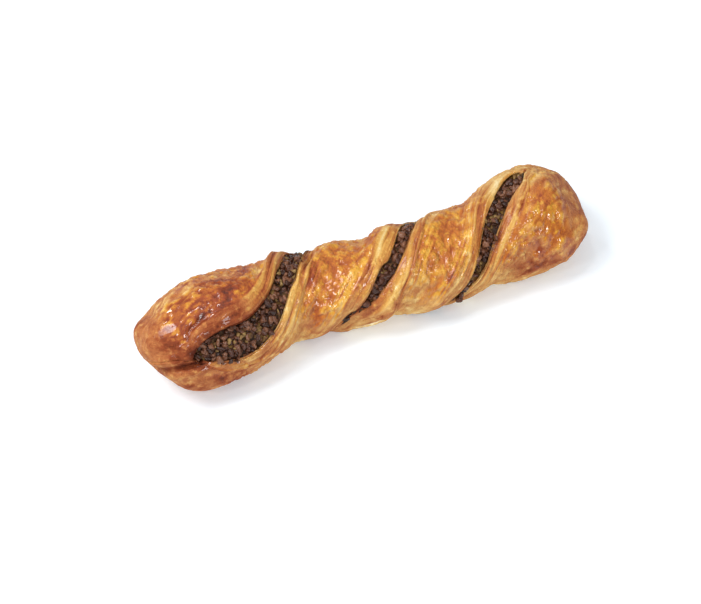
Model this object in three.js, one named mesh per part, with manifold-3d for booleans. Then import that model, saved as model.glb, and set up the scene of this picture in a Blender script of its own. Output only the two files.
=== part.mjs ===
// A chocolate twist: a strip of laminated butter pastry, folded in two round a slab of custard and
// chocolate chips, twisted a little over one turn, glazed and baked on a flat tray.
//
// Frame, in millimetres: X runs along the twist from the pinched end (-X) to the folded end (+X),
// Z is up, and the origin is under the middle of the twist, on the surface that it lies on.
//
// The twist is worked out straight first, in strip coordinates: x along it, p across the strip
// towards its cut sides, and q through the sandwich, with the upper leaf at +q and the lower leaf
// at -q. place() then turns each cross-section about X, lays it down and presses it flat below.
import * as THREE from "three";
import { mergeVertices } from "three/addons/utils/BufferGeometryUtils.js";
import Module from "manifold-3d";

// ---- Driving dimensions, in millimetres and degrees ----

// The ends. A cap is the length over which an end rounds off; its power is 2 for an ellipse and
// more for a squarer end.
const LEFT_END = -108; // where the leaves are pinched together
const LEFT_CAP = 32;
const UPPER_CAP_POWER = 1.65;
const LOWER_CAP_POWER = 4.5;
const RIGHT_END = 110; // where the strip is folded
const RIGHT_CAP = 26;
const RIGHT_CAP_POWER = 2.4;
const UPPER_LEAN = 0.46; // how far the upper leaf reaches out at the pinched end, per mm of q
const LOWER_LEAN = 0.78; // how far the lower leaf stays behind there, per mm of q
const RIGHT_LEAN = 0.05; // how far the fold leans, per mm of p
const LEAN_RAMP = [60, 100]; // distances from the middle over which the leans set in

// Stations along the twist, each [x, value].
const TURN = [
  [-111, 35],
  [-60, 36],
  [-50, 46],
  [-42, 65],
  [-33, 99],
  [-28, 122],
  [-13, 178],
  [4, 222],
  [12, 247],
  [20, 277],
  [26, 303],
  [48, 375],
  [57, 416],
  [67, 449],
  [79, 472],
  [92, 487],
  [112, 497],
];
const SWAY = [
  [-108, -4.7],
  [-100, -4.1],
  [-92, -2.6],
  [-84, -1.6],
  [-62, 0],
  [-48, 2.4],
  [-36, 5.4],
  [-24, 4],
  [-10, 2.9],
  [4, 0.7],
  [12, 1.2],
  [22, -0.4],
  [32, -1.5],
  [50, -0.9],
  [65, 1],
  [80, 1.6],
  [95, 3],
  [110, 3.6],
];
const HALF_WIDTH = [
  [-111, 20],
  [-76, 21.2],
  [-48, 20.3],
  [-20, 19],
  [4, 19.2],
  [30, 20.2],
  [48, 19.4],
  [68, 21.6],
  [88, 23.4],
  [112, 22.4],
];
const HALF_THICKNESS = [
  [-111, 23],
  [-80, 23.6],
  [-70, 24.2],
  [-56, 23],
  [-42, 20.6],
  [-20, 19],
  [4, 19.2],
  [30, 20.2],
  [48, 19.4],
  [68, 21.4],
  [88, 22.8],
  [112, 22],
];
const SECTION_POWER = 2.8; // 2 is an ellipse and more is squarer

// The filling between the leaves, and the pastry's cut edges beside it.
const FILLING_LEFT = -86;
const FILLING_RIGHT = 86;
const FILLING_THICKNESS = [
  [-111, 16],
  [-70, 17],
  [-54, 16.5],
  [-40, 15.5],
  [-29, 14.5],
  [-22, 11],
  [-15, 5],
  [-8, 4],
  [0, 7],
  [8, 10.5],
  [20, 11],
  [30, 9.5],
  [38, 4.5],
  [44, 4.5],
  [50, 8],
  [58, 10.5],
  [70, 12],
  [86, 13],
];
const LEFT_TAPER = 26; // length over which the filling thins out
const RIGHT_TAPER = 12;
const TIP_ROUND = 0.6; // half its thickness at the very tips
const FILLING_RECESS = 2.2; // depth of its sides behind the cut edges
const EDGE_THICKNESS = [
  [-111, 8],
  [-66, 8.5],
  [-44, 9.5],
  [-25, 11.2],
  [60, 11],
  [86, 9.5],
  [112, 9.5],
];
const GAP = 0.3; // between the filling and the pastry, and the filling and the tray
const SPACE_BEYOND = 2; // from the filling's tips to the ends of the space that it lies in

// Relief on the pastry's skin.
const LAYERS = 3; // bundles of layers that stand out along each cut edge
const LAYER_RELIEF = 0.75;
const LAYER_LENGTH = 9; // along an edge, from one uneven stretch to the next
const LAYER_SIDE = [6, 11]; // distances from the middle of the strip over which layers set in
const LAYER_FADE = 0.2; // share of an edge over which they fade into the glazed face
const BLISTER_RELIEF = 0.55;
const BLISTER_SIZE = 7;
const SEAM_DEPTH = 2.6; // of the groove where the leaves meet at the pinched end
const SEAM_WIDTH = 1.6;
const SEAM_RAMP = 14; // length over which it deepens

// Chocolate chips.
const CHIP_SIZE = 6;
const CHIP_SPACING = 5.4;
const CHIP_UNEVEN = 0.15; // share of its size
const CHIP_PROUD = 0.5; // how far a chip's middle stands out of the filling's side
const CHIP_SCATTER = 1;
const CHIP_CLEARANCE = 0.35;
const CHIP_SEED = 7;

// How the twist lies.
const PRESSED = 0.11; // share of its half thickness that the tray flattens
const PRESS_SOFTNESS = 1.3;
const BASE_CUT = 0.3; // height at which the pressed underside is trimmed to one plane

// Steps of the grids.
const BODY_STEP = 3.3;
const CAP_STEPS = 6;
const FACE_STEPS = 3;
const SLAB_STEPS = 4;
const OPEN_REACH = 8; // how far the filling's space runs past its sides

// ---- Helpers ----

const { clamp, degToRad, lerp, smoothstep } = THREE.MathUtils;

/** The smooth curve through stations [x, value], flat beyond its ends. */
function along(stations, x) {
  const last = stations.length - 1;
  if (x <= stations[0][0]) return stations[0][1];
  if (x >= stations[last][0]) return stations[last][1];
  const i = stations.findIndex((station) => station[0] > x) - 1;
  const slope = (k) => {
    const before = stations[Math.max(k - 1, 0)];
    const after = stations[Math.min(k + 1, last)];
    return (after[1] - before[1]) / (after[0] - before[0]);
  };
  const [x0, v0] = stations[i];
  const [x1, v1] = stations[i + 1];
  const span = x1 - x0;
  const t = (x - x0) / span;
  const ease = t * t * (3 - 2 * t);
  const leaving = span * slope(i) * t * (1 - t) ** 2;
  const arriving = span * slope(i + 1) * t ** 2 * (1 - t);
  return lerp(v0, v1, ease) + leaving - arriving;
}

const signedPower = (v, power) => Math.sign(v) * Math.abs(v) ** power;

/** A fixed pseudo-random value from 0 to 1 for each lattice point. */
function lattice(i, j, k) {
  const v = Math.sin(i * 127.1 + j * 311.7 + k * 74.7) * 43758.5453;
  return v - Math.floor(v);
}

/** Smooth noise from -1 to 1, one bump a unit. */
function noise(x, y, z) {
  const cell = [x, y, z].map(Math.floor);
  const w = [x, y, z].map((v, n) => smoothstep(v - cell[n], 0, 1));
  let sum = 0;
  for (const i of [0, 1])
    for (const j of [0, 1])
      for (const k of [0, 1]) {
        const share = Math.abs((1 - i - w[0]) * (1 - j - w[1]) * (1 - k - w[2]));
        sum += share * lattice(cell[0] + i, cell[1] + j, cell[2] + k);
      }
  return 2 * sum - 1;
}

/** A closed indexed geometry from rings of points, all as long, with a pole before and after. */
function closedGrid(rings, firstPole, lastPole) {
  const n = rings[0].length;
  const points = [firstPole, ...rings.flat(), lastPole];
  const at = (i, j) => 1 + i * n + (j % n);
  const faces = [];
  for (let j = 0; j < n; j++) {
    faces.push(0, at(0, j), at(0, j + 1));
    faces.push(points.length - 1, at(rings.length - 1, j + 1), at(rings.length - 1, j));
    for (let i = 0; i < rings.length - 1; i++) {
      faces.push(at(i, j), at(i + 1, j), at(i + 1, j + 1));
      faces.push(at(i, j), at(i + 1, j + 1), at(i, j + 1));
    }
  }
  return new THREE.BufferGeometry().setFromPoints(points).setIndex(faces);
}

// ---- The strip's form, before it is twisted ----

/** Half thickness at x of the filling. */
function fillingHalf(x) {
  const left = clamp((x - FILLING_LEFT) / LEFT_TAPER, 0, 1);
  const right = clamp((FILLING_RIGHT - x) / RIGHT_TAPER, 0, 1);
  const round = (v) => Math.sqrt(1 - (1 - v) ** 2);
  return Math.max(TIP_ROUND, (along(FILLING_THICKNESS, x) / 2) * round(left) * round(right));
}

/** How far the filling's sides lie from the middle of the strip at x. */
const fillingReach = (x) => along(HALF_WIDTH, x) * endShrink(x) - FILLING_RECESS;

/**
 * How far the cross-section has shrunk at x, from 1 along the body to 0 at the ends. The side is
 * from -1 on the lower leaf to 1 on the upper one, which is rounder at the pinched end.
 */
function endShrink(x, side = 0) {
  const left = Math.max(0, (LEFT_END + LEFT_CAP - x) / LEFT_CAP);
  const right = Math.max(0, (x - RIGHT_END + RIGHT_CAP) / RIGHT_CAP);
  const cap = (v, power) => Math.max(0, 1 - v ** power) ** (1 / power);
  const leftPower = lerp(LOWER_CAP_POWER, UPPER_CAP_POWER, (side + 1) / 2);
  return cap(left, leftPower) * cap(right, RIGHT_CAP_POWER);
}

/** The relief on the pastry's skin: layers on the cut edges, blisters on the faces, and a seam. */
function relief(x, p, q) {
  const fold = Math.max(0, x - FILLING_RIGHT);
  const depth = (Math.hypot(fold, q) - fillingHalf(x)) / along(EDGE_THICKNESS, x);
  const onSide = smoothstep(Math.abs(p), ...LAYER_SIDE);
  const past = 1 - smoothstep(depth, 1 - LAYER_FADE, 1 + LAYER_FADE);
  const edge = onSide * past * smoothstep(depth, -LAYER_FADE, 0);
  const bundle = Math.floor(depth * LAYERS);
  const uneven = 0.6 + 0.7 * noise(x / LAYER_LENGTH, bundle * 3 + Math.sign(q), 5 * Math.sign(p));
  const layers = Math.cos(2 * Math.PI * depth * LAYERS) * uneven * LAYER_RELIEF * edge;
  const size = BLISTER_SIZE;
  const blisters = noise(x / size, p / size, q / size) * BLISTER_RELIEF * (1 - edge / 2);
  const pinched = smoothstep(FILLING_LEFT + SEAM_RAMP - x, 0, SEAM_RAMP);
  const seam = pinched * SEAM_DEPTH * Math.exp(-((q / SEAM_WIDTH) ** 2));
  return layers + blisters - seam;
}

/** Where a point of the straight strip lies once it is twisted, laid down and pressed. */
function place(x, p, q) {
  const turn = degToRad(along(TURN, x));
  const up = p * Math.sin(turn) + q * Math.cos(turn);
  const back = q * Math.sin(turn) - p * Math.cos(turn) + along(SWAY, x);
  const lift = along(HALF_THICKNESS, x) * (1 - PRESSED);
  const pressed = PRESS_SOFTNESS * Math.log1p(Math.exp((lift + up) / PRESS_SOFTNESS));
  const leftLean = (q > 0 ? UPPER_LEAN : LOWER_LEAN) * q * smoothstep(-x, ...LEAN_RAMP);
  const rightLean = RIGHT_LEAN * p * smoothstep(x, ...LEAN_RAMP);
  return new THREE.Vector3(x - leftLean - rightLean, back, pressed - BASE_CUT);
}

// ---- Surfaces ----

/** The x of each ring from one end of the twist to the other, close together at the ends. */
function ringStations() {
  const from = LEFT_END + LEFT_CAP;
  const to = RIGHT_END - RIGHT_CAP;
  const steps = Math.round((to - from) / BODY_STEP);
  const arc = (k) => Math.sin((k / CAP_STEPS) * (Math.PI / 2));
  const xs = [];
  for (let k = CAP_STEPS - 1; k >= 1; k--) xs.push(from - LEFT_CAP * arc(k));
  for (let i = 0; i <= steps; i++) xs.push(lerp(from, to, i / steps));
  for (let k = 1; k < CAP_STEPS; k++) xs.push(to + RIGHT_CAP * arc(k));
  return xs;
}

/** Angles round a quarter of the skin at x: closely over the cut edge, then over the face. */
function quarterAngles(x) {
  const half = along(HALF_THICKNESS, x);
  const inner = fillingHalf(x);
  const highest = 0.94 * half; // of the cut edge
  const angleAt = (q) => Math.asin((Math.min(q, highest) / half) ** (SECTION_POWER / 2));
  const rows = 2 * LAYERS;
  const angles = [angleAt(inner / 2)];
  for (let k = 0; k < rows; k++)
    angles.push(angleAt(inner + (k / (rows - 1)) * along(EDGE_THICKNESS, x)));
  const edgeEnd = angles[rows];
  for (let k = 1; k < FACE_STEPS; k++) angles.push(lerp(edgeEnd, Math.PI / 2, k / FACE_STEPS));
  return angles;
}

/** A point of the skin at an angle round the cross-section, with the relief on it. */
function skinPoint(x, angle) {
  const shrink = endShrink(x, Math.sin(angle));
  const power = 2 / SECTION_POWER;
  const p = along(HALF_WIDTH, x) * shrink * signedPower(Math.cos(angle), power);
  const q = along(HALF_THICKNESS, x) * shrink * signedPower(Math.sin(angle), power);
  const leastReach = 8; // keeps the relief shallow near the poles
  const grown = 1 + relief(x, p, q) / Math.max(Math.hypot(p, q), leastReach);
  return place(x, p * grown, q * grown);
}

/** The pastry's outer form, without the space for the filling. */
function skinGeometry() {
  const rings = ringStations().map((x) => {
    const quarter = quarterAngles(x);
    const mirrored = [...quarter].reverse().map((angle) => Math.PI - angle);
    const half = [0, ...quarter, Math.PI / 2, ...mirrored];
    const angles = [...half, ...half.map((angle) => angle + Math.PI)];
    return angles.map((angle) => skinPoint(x, angle));
  });
  return closedGrid(rings, place(LEFT_END, 0, 0), place(RIGHT_END, 0, 0));
}

/**
 * A twisted slab between the leaves, out to the filling's sides or, where it is `open`, past the
 * cut edges. Both kinds have the same columns of points inside, so their facets are parallel.
 */
function slabGeometry(from, to, open, spare) {
  const inside = ringStations().filter((x) => x > from + 1 && x < to - 1);
  const rings = [from, ...inside, to].map((x) => {
    const half = fillingHalf(x) + spare;
    const reach = fillingReach(x);
    const ps = open ? [reach + OPEN_REACH] : [];
    for (let k = 0; k <= SLAB_STEPS; k++) ps.push(reach * (1 - (2 * k) / SLAB_STEPS));
    if (open) ps.push(-reach - OPEN_REACH);
    const upper = ps.map((p) => place(x, p, half));
    const lower = ps.map((p) => place(x, -p, -half));
    return [...upper, ...lower];
  });
  return closedGrid(rings, place(from - TIP_ROUND, 0, 0), place(to + TIP_ROUND, 0, 0));
}

/** Chips in staggered rows along both sides of the filling, as many rows as it has room for. */
function chipGeometries() {
  let drawn = 0;
  const draw = () => lattice(CHIP_SEED, (drawn += 1), 0);
  const radius = CHIP_SIZE / 2;
  const chipAt = (centre) => {
    const chip = new THREE.OctahedronGeometry(radius);
    chip.scale(...[0, 0, 0].map(() => 1 + CHIP_UNEVEN * (2 * draw() - 1)));
    chip.rotateX(draw() * Math.PI).rotateY(draw() * Math.PI).rotateZ(draw() * Math.PI);
    return chip.translate(centre.x, centre.y, centre.z);
  };
  const chips = [];
  for (const side of [1, -1])
    for (let x = FILLING_LEFT + CHIP_SIZE; x < FILLING_RIGHT - radius; x += CHIP_SPACING) {
      const room = Math.max(0, fillingHalf(x) - radius - CHIP_CLEARANCE);
      const rows = Math.round((2 * room) / CHIP_SPACING) + 1;
      for (let row = 0; row < rows; row++) {
        const q = rows === 1 ? 0 : room * ((2 * row) / (rows - 1) - 1);
        const chipX = x + (row % 2) * 0.5 * CHIP_SPACING + CHIP_SCATTER * (draw() - 0.5);
        const proud = CHIP_PROUD + CHIP_SCATTER * (draw() - 0.5);
        const centre = place(chipX, side * (fillingReach(x) + proud), q);
        if (centre.z > radius) chips.push(chipAt(centre));
      }
    }
  return chips;
}

// ---- Solids ----

const wasm = await Module();
wasm.setup();

/** A solid that can be joined and cut, from a closed geometry. */
function solidOf(geometry) {
  const bare = geometry.clone();
  bare.deleteAttribute("normal");
  bare.deleteAttribute("uv");
  const merged = mergeVertices(bare);
  const vertProperties = merged.attributes.position.array;
  const triVerts = new Uint32Array(merged.index.array);
  return new wasm.Manifold(new wasm.Mesh({ numProp: 3, vertProperties, triVerts }));
}

/** The geometry of a solid. */
function geometryOf(solid) {
  const mesh = solid.getMesh();
  return new THREE.BufferGeometry()
    .setAttribute("position", new THREE.BufferAttribute(mesh.vertProperties, 3))
    .setIndex(new THREE.BufferAttribute(mesh.triVerts, 1));
}

/** The pastry: its skin with the space for the filling cut through it, and a flat underside. */
function pastryGeometry() {
  const from = FILLING_LEFT - SPACE_BEYOND;
  const to = FILLING_RIGHT + SPACE_BEYOND;
  const space = solidOf(slabGeometry(from, to, true, GAP));
  return geometryOf(solidOf(skinGeometry()).subtract(space).trimByPlane([0, 0, 1], 0));
}

/** The filling: its slab with the chips fused on, kept between the leaves and above the tray. */
function fillingGeometry() {
  const slab = solidOf(slabGeometry(FILLING_LEFT, FILLING_RIGHT, false, 0));
  const between = solidOf(slabGeometry(FILLING_LEFT, FILLING_RIGHT, true, 0));
  const chips = wasm.Manifold.union(chipGeometries().map(solidOf)).intersect(between);
  const pieces = slab.add(chips).trimByPlane([0, 0, 1], GAP).decompose();
  const largest = pieces.reduce((a, b) => (a.volume() > b.volume() ? a : b));
  return geometryOf(largest);
}

// ---- The part ----

const pastry = new THREE.Mesh(
  pastryGeometry(),
  new THREE.MeshStandardMaterial({ color: "#c58148", roughness: 0.4, metalness: 0 }),
);
pastry.name = "pastry";

const filling = new THREE.Mesh(
  fillingGeometry(),
  new THREE.MeshStandardMaterial({ color: "#4f3226", roughness: 0.5, metalness: 0 }),
);
filling.name = "filling";

const twist = new THREE.Group();
twist.add(pastry, filling);

// The origin goes under the middle of the whole.
const middle = new THREE.Box3().setFromObject(twist).getCenter(new THREE.Vector3());
for (const mesh of twist.children) mesh.position.set(-middle.x, -middle.y, 0);

export default twist;
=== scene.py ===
"""The looks of a chocolate twist pastry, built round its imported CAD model.

The pastry and its filling are worked out straight first, in strip coordinates in millimetres:
x along the strip, p across it towards its cut sides, and q through the sandwich of its two
leaves. place() turns, bends and presses them as the CAD model is, and meshes are in metres.
"""
import math
from types import SimpleNamespace

import bmesh
import bpy
import numpy as np
from mathutils import Matrix, Vector


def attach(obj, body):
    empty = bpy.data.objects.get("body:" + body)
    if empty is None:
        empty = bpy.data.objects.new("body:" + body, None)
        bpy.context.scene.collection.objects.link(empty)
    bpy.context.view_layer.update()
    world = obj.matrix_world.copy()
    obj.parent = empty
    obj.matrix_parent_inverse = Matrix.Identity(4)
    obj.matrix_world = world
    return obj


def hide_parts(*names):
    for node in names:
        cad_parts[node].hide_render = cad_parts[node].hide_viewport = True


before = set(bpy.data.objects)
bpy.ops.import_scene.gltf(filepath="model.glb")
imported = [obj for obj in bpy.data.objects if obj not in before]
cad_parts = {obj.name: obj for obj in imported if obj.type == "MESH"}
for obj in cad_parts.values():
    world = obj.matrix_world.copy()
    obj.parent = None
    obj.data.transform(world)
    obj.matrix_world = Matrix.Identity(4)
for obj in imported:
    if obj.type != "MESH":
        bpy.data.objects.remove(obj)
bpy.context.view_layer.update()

MM = 0.001
SEED = 5

# ---- The form, as in the CAD model: stations are (x, value), in millimetres and degrees ----

LEFT_END = -108
LEFT_CAP = 32
UPPER_CAP_POWER = 1.65
LOWER_CAP_POWER = 4.5
RIGHT_END = 110
RIGHT_CAP = 26
RIGHT_CAP_POWER = 2.4
UPPER_LEAN = 0.46
LOWER_LEAN = 0.78
RIGHT_LEAN = 0.05
LEAN_RAMP = (60, 100)
CENTRE = (0.372, 0.595)  # of the CAD model, from the strip's own origin along X and Y

TURN = [
    (-111, 35), (-60, 36), (-50, 46), (-42, 65), (-33, 99), (-28, 122), (-13, 178), (4, 222),
    (12, 247), (20, 277), (26, 303), (48, 375), (57, 416), (67, 449), (79, 472), (92, 487),
    (112, 497),
]
SWAY = [
    (-108, -4.7), (-100, -4.1), (-92, -2.6), (-84, -1.6), (-62, 0), (-48, 2.4), (-36, 5.4),
    (-24, 4), (-10, 2.9), (4, 0.7), (12, 1.2), (22, -0.4), (32, -1.5), (50, -0.9), (65, 1),
    (80, 1.6), (95, 3), (110, 3.6),
]
HALF_WIDTH = [
    (-111, 20), (-76, 21.2), (-48, 20.3), (-20, 19), (4, 19.2), (30, 20.2), (48, 19.4),
    (68, 21.6), (88, 23.4), (112, 22.4),
]
HALF_THICKNESS = [
    (-111, 23), (-80, 23.6), (-70, 24.2), (-56, 23), (-42, 20.6), (-20, 19), (4, 19.2), (30, 20.2),
    (48, 19.4), (68, 21.4), (88, 22.8), (112, 22),
]
SECTION_POWER = 2.8
FACE_LIMIT = 0.94  # the share of the half thickness that a cut edge reaches at most
FILLING_LEFT = -86
FILLING_RIGHT = 86
FILLING_THICKNESS = [
    (-111, 16), (-70, 17), (-54, 16.5), (-40, 15.5), (-29, 14.5), (-22, 11), (-15, 5), (-8, 4),
    (0, 7), (8, 10.5), (20, 11), (30, 9.5), (38, 4.5), (44, 4.5), (50, 8), (58, 10.5), (70, 12),
    (86, 13),
]
LEFT_TAPER = 26
RIGHT_TAPER = 12
TIP_ROUND = 0.6  # half the filling's thickness where it ends
FILLING_RECESS = 2.2
EDGE_THICKNESS = [
    (-111, 8), (-66, 8.5), (-44, 9.5), (-25, 11.2), (60, 11), (86, 9.5), (112, 9.5),
]
PRESSED = 0.11  # the share of the half thickness that the underside is pressed flat by
PRESS_SOFTNESS = 1.3
BASE_CUT = 0.3

# ---- The baked surface ----

ROW_STEP = 0.58  # along the strip
CAP_ROWS = 34
POCKET_COLUMNS = 4
EDGE_COLUMNS = 32
FACE_COLUMNS = 28
POCKET_FLOOR = 8  # half width of what keeps the leaves together behind the filling
FLOOR_SINK = 0.3  # of that floor, so that it lies inside where the lips meet

LAYERS = 3.6  # that show across one cut edge
LAYER_WAVE = 0.5  # how far they wander, in layers
LEDGE = 0.7  # how far single layers stand out or lie back
CREVICE = 0.5
DARK_LAYER = 0.3
FOLD = 0.6  # broad, uneven folds of the layers
FLAKE = 0.25
LIP_ROUND = 0.7
LIP_CLOSE = 0.7  # how far the lips of the cut edges close over the filling
RIM = 0.45  # the ridge between a cut edge and a glazed face
ROLL = 0.9  # how far the rolled band stands out
CREASE = 1.1  # how deep the crease behind it is
LUMP = 0.9
BLISTER = 0.8
BLISTER_SIZE = 3.9
SMALL_BLISTER = 0.52
SMALL_BLISTER_SIZE = 2.2
BLISTER_SHARE = 0.8  # of the places that have one
WRINKLE = 0.45
WRINKLE_SIZE = 2.6
BEND = 0.9  # how far blisters and wrinkles are bent out of their lattice
RING_CENTRE = (118, 12, 12)  # that the wrinkles of the folded end run round, in mm
STREAK = 0.35
SEAM_DEPTH = 2.4
SEAM_WIDTH = 1.4
OVERHANG = 0.9  # of the upper leaf over the seam at the left end
FACE_SINK = 0.9  # takes back what the blisters add on the whole

# Where the skin changes: from where to where a zone sets in, in mm along the strip. Those of the
# left half are measured leftwards.
ROLLED_BAND = (38, 55)  # the edge that is rolled back over the left opening
BAND_CREASE = (60, 78)
UNDER_SEAM = (60, 80)
LOBE = (66, 80)  # the glossy left end, with finer blisters
SEAM_DROPS = (80, 91)
SEAM_OVERHANG = (80, 90)
NOSE = (86, 95)  # dry and evenly baked
TIP = (88, 103)
BROAD_END = (58, 72)
RIGHT_FACE = (60, 78)
FOLDED_END = (72, 92)
DULL_END = (90, 101)
# And across it: how far off the middle the cut sides begin, in mm, where an edge gives way to a
# face, and how far a face is still like the edge beside it, both in depths of the edge.
CUT_SIDE = (6, 11)
EDGE_END = (0.85, 1.1)
NEAR_EDGE = 0.6
PINCH = 22  # the stretch over which the leaves close before the filling's left end

# How much further each lip closes over the filling, or opens, by leaf and side.
LIPS = {
    (1, 1): [
        (-93, 0), (-90.5, -0.9), (-88.5, -2), (-86, -3), (-84, -1.6), (-80, -0.9), (-75, 0),
        (-70, 0.8), (-64, 1.8), (-56, 1.4), (-49, 1), (-30, 0.9), (-18, 0), (62, 0), (67, 1.2),
        (72, 1), (78, 0), (84, -0.8), (90, 0),
    ],
    (-1, 1): [
        (-93, 0), (-90.5, -0.8), (-88.5, -1.9), (-86, -3), (-84, -1.8), (-78, -1.4), (-68, -1.8),
        (-60, -1.1), (-50, 0), (-37, 0), (-31, -2.2), (-26, -1.4), (-18, 0), (38, 0), (46, 0.7),
        (52, 0.2), (55, -0.5), (58, -0.1), (62, -0.7), (66, -1), (70, -1), (78, -0.6), (85, -2),
        (92, 0),
    ],
    (-1, -1): [
        (-34, 0), (-27, 5), (-12, 4), (-7, 1.2), (-4, 0), (0, -1), (5, -1.4), (8, 0), (11, 2.6),
        (16, 2.6), (20, 1.4), (28, 0.6), (34, 0),
    ],
    (1, -1): [
        (-34, 0), (-27, 5), (-12, 4), (-7, 1.2), (-4, 0), (2, 0.4), (5, 2), (8, 2), (12, 0.6),
        (18, 0), (24, -0.8), (29, -1.6), (34, 0),
    ],
}
SEAM_SHIFT = 4  # how far the closed seam wanders off the middle before it runs underneath
SWELLS = [  # single swells and dents: where in the straight strip, how wide and how high
    ((6, 1, -19), 7, -2.2), ((-8, 11, -17), 5, 0.9), ((-21, 17, -12), 4, -3.6),
    ((-43, 12, 19), 4.5, -2.6), ((-59, -2, 23), 8, -0.6), ((-92, -7, 19), 8, -1.6),
    ((-104, 11, -15), 6, 1.6), ((105, 8, -14), 8, -2.2), ((103, 13, -14), 7, -1.4),
    ((105, -9, -14), 7, 3.0), ((65, -8, -21), 9, -0.8), ((51, 17, -13), 7, -0.8),
    ((-21, 18, -8), 5, -1.6), ((-40, 4, -20), 6, 1.3), ((5, -16, 14), 6, 1.3),
    ((-59, 0, 23), 7, -0.9), ((-43, 9, 20), 5, -0.8), ((-14, -19, 3), 6, -1.2),
    ((-107, 8, -5), 5, -1.3), ((-101, -3, 12), 6, 1.7), ((-30, 11, -18), 4.5, -1.5),
]
TIP_RISE = 2.6  # of the upper leaf's rounded left end
TIP_PULL = 0.6  # how far it is pulled in for each mm that it rises
PASTRY_HEIGHT = 45  # roughly, since higher places are baked darker
END_SEAM_DROP = 3.4  # how far the left end's seam runs below the middle on the first side

GLAZED_SIDE = (-0.1, -0.35, 0.95)  # the glaze lies on what looks this way
GLAZED_SIDE_RIGHT = (0.25, -0.6, 0.76)  # and this way at the right end

# How dark it is baked along the strip, from 0 for cream to 1 for the darkest brown.
FACE_BAKE = [
    (-108, 0.56), (-94, 0.6), (-80, 0.68), (-55, 0.69), (-40, 0.6), (-20, 0.51), (10, 0.49),
    (40, 0.47), (70, 0.48), (88, 0.5), (110, 0.54),
]
# The same for the four cut edges, by leaf and side.
EDGE_BAKE = {
    (1, 1): [
        (-108, 0.56), (-84, 0.66), (-70, 0.67), (-60, 0.62), (-50, 0.55), (-40, 0.57),
        (-30, 0.55), (40, 0.44), (52, 0.42), (61, 0.46), (68, 0.38), (76, 0.32), (110, 0.36),
    ],
    (-1, 1): [
        (-108, 0.58), (-92, 0.6), (-82, 0.6), (-70, 0.54), (-60, 0.48), (-50, 0.38), (-41, 0.3),
        (-35, 0.42), (-28, 0.55), (40, 0.53), (50, 0.53), (60, 0.51), (76, 0.46), (110, 0.44),
    ],
    (-1, -1): [
        (-108, 0.55), (-20, 0.52), (-8, 0.52), (5, 0.49), (12, 0.45), (20, 0.41), (24, 0.39),
        (34, 0.34), (60, 0.35), (110, 0.4),
    ],
    (1, -1): [
        (-108, 0.55), (-20, 0.56), (-5, 0.58), (8, 0.52), (16, 0.5), (26, 0.5), (60, 0.42),
        (110, 0.42),
    ],
}
# Patches baked lighter or darker: where in the straight strip, how wide and by how much.
TINTS = [
    ((-59, -2, 23), 9, -0.3), ((-45, 10, 20), 6, -0.3), ((-76, -4, 24), 9, -0.12),
    ((-86, -2, 22), 9, -0.2), ((-55, 15, 19), 6, -0.16), ((-35, 12, -18), 7, -0.22),
    ((34, 13, 18), 5, 0.32), ((-94, 19, 7), 6, 0.22), ((-96, 19, -2), 5, 0.25),
    ((75, -12, -20), 9, 0.2), ((91, -22, 12), 10, 0.2), ((61, 20, 9), 4, 0.15),
    ((-66, 15, 20), 7, 0.1), ((82, 0, -23), 6, 0.14), ((-50, 15, -18), 6, 0.12),
    ((-30, -11, -18), 6, 0.13), ((-26, 8, -19), 6, 0.12), ((-102, 15, -14), 6, 0.13),
    ((-75, 19, 14), 5, 0.1), ((-98, -4, 15), 6, 0.1), ((-88, 21, -4), 3.5, 0.3),
    ((17, -17.5, -13), 2.6, -0.26), ((13, -17.5, -12.6), 2.6, -0.28),
    ((9, -17.6, -11.6), 2.6, -0.28), ((5.5, -17.7, -11), 2.4, -0.16),
]

# ---- The filling ----

CHIP_SPACING = 1.9
CHIP_ROW = 0.87 * CHIP_SPACING  # from one row of chips to the next
CHIPS_FROM = FILLING_LEFT - 3  # where the left opening begins
CHIPS_TO = FILLING_RIGHT - 1
CHIP_RADIUS = (0.8, 1.95)
CHIP_PROUD = (-1.1, 0.9)  # how far their middles stand out of the filling's side
# Where chips lie over the lower lip: on which side, from where to where, and how far.
SPILLS = [(1, 54, 63, 2.6), (1, 66, 74, 1), (1, -86, -64, 1), (1, -36, -26, 1)]
SPILT_SIZE = 0.75  # of those chips, of the size of the others
LEAST_ROOM = 2.3  # half of what the leaves leave open, for chips to show
ENDS_FROM = 80  # either way from the middle, where chips show with less room too
LEAST_OPENING = 0.5
CHIP_FACES = 10  # flat faces that each chip is broken to
CRUMB_FACES = 12
CRUMB_SHARE = 0.13  # of the places, that custard crumbs take
CRUMB_PATCHES = 0.35  # how much that share changes from place to place
CRUMB_RADIUS = (0.75, 1.45)
STRAY_CHIPS = [  # x, side, q, how proud and how large they are, where the opening is too tight
    (-12.8, -1, 0.4, 1.2, 1.1), (39.6, 1, -1.2, 3.4, 1.9), (40.8, 1, -0.4, 2.4, 1.8),
    (41.8, 1, 0.8, 1.6, 1.6), (43.4, 1, 0.4, 1.5, 1.6), (44.8, 1, 0.9, 1.4, 1.6),
]
CHUNK_CUTS = (0.5, 0.95)  # how far from a chunk's middle its flat faces lie, in radii
CHUNK_CORNERS = 1.15  # how far its corners reach at most
CHUNK_SQUASH = (0.65, 1.35)
CHUNK_ROUGH = 0.3
CHUNK_LIFT = 1.4  # how high its middle lies at least, in radii
CUSTARD_STEP = 0.9
CUSTARD_SINK = 0.15
CUSTARD_ROUGH = 0.8
CUSTARD_FINE = 0.3
BRIM = 0.6  # how far the custard creeps up the leaves
CUSTARD_RISE = 1.2  # where the leaves leave little room
TIGHT = (2.0, 3.2)  # half openings that it rises in
CUSTARD_LIFT = 0.3  # off the surface that the pastry lies on


# ---- Helpers ----

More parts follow.
